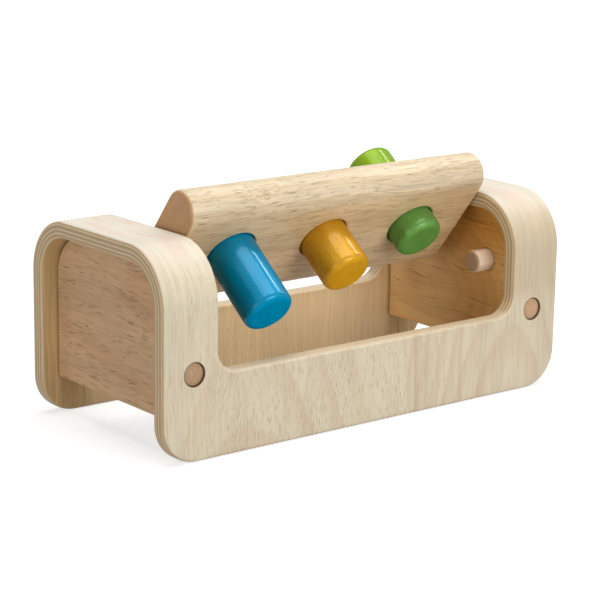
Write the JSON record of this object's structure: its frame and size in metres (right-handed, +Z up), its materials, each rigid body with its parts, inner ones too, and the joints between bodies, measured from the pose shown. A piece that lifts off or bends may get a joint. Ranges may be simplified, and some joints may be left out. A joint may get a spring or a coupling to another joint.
{
  "type": "peg pounding bench",
  "caption": "Wooden pounding bench toy: a bent plywood frame with end panels and a plank of painted sliding pegs that turns over on an off-centre pivot.",
  "frame": {"origin": "on the floor at the middle of the frame", "axes": "+X along the bench to the green peg's end, -Y to the front, +Z up"},
  "size_m": [0.26, 0.1164, 0.1272],
  "materials": {
    "frame_plywood": "smooth, oiled, pale veneer with ply stripes on its edges",
    "panel_wood": "smooth, oiled, open pores",
    "plank_wood": "smooth, oiled, grain along the plank",
    "dowel_wood": "smooth, end grain",
    "grip_rubber": "matte",
    "blue_stain": "semi-gloss paint over open pores",
    "yellow_stain": "semi-gloss paint over open pores",
    "green_stain": "semi-gloss paint over open pores"
  },
  "bodies": {
    "bench": {"bent_ply_frame": "frame_plywood", "left_end_panel": "panel_wood", "right_end_panel": "panel_wood", "front_left_fixing_dowel": "dowel_wood", "front_right_fixing_dowel": "dowel_wood", "back_left_fixing_dowel": "dowel_wood", "back_right_fixing_dowel": "dowel_wood", "left_pivot_dowel": "dowel_wood", "right_pivot_dowel": "dowel_wood", "front_left_stop_dowel": "dowel_wood", "front_right_stop_dowel": "dowel_wood", "back_left_stop_dowel": "dowel_wood", "back_right_stop_dowel": "dowel_wood"},
    "plank": {"turning_plank": "plank_wood", "blue_grip_ring": "grip_rubber", "yellow_grip_ring": "grip_rubber", "green_grip_ring": "grip_rubber"},
    "blue": {"blue_peg": "blue_stain"},
    "yellow": {"yellow_peg": "yellow_stain"},
    "green": {"green_peg": "green_stain"}
  },
  "joints": [
    {"name": "plank_turn", "type": "hinge", "parent": "bench", "child": "plank", "pos_m": [0, 0, 0.0848], "axis": [1, 0, 0], "range_deg": [-127.9, 52.1]},
    {"name": "blue_slide", "type": "slide", "parent": "plank", "child": "blue", "axis": [0, -0.7891, -0.6143], "range_m": [-0.0468, 0]},
    {"name": "yellow_slide", "type": "slide", "parent": "plank", "child": "yellow", "axis": [0, -0.7891, -0.6143], "range_m": [-0.0315, 0.0153]},
    {"name": "green_slide", "type": "slide", "parent": "plank", "child": "green", "axis": [0, -0.7891, -0.6143], "range_m": [-0.0173, 0.0295]}
  ]
}
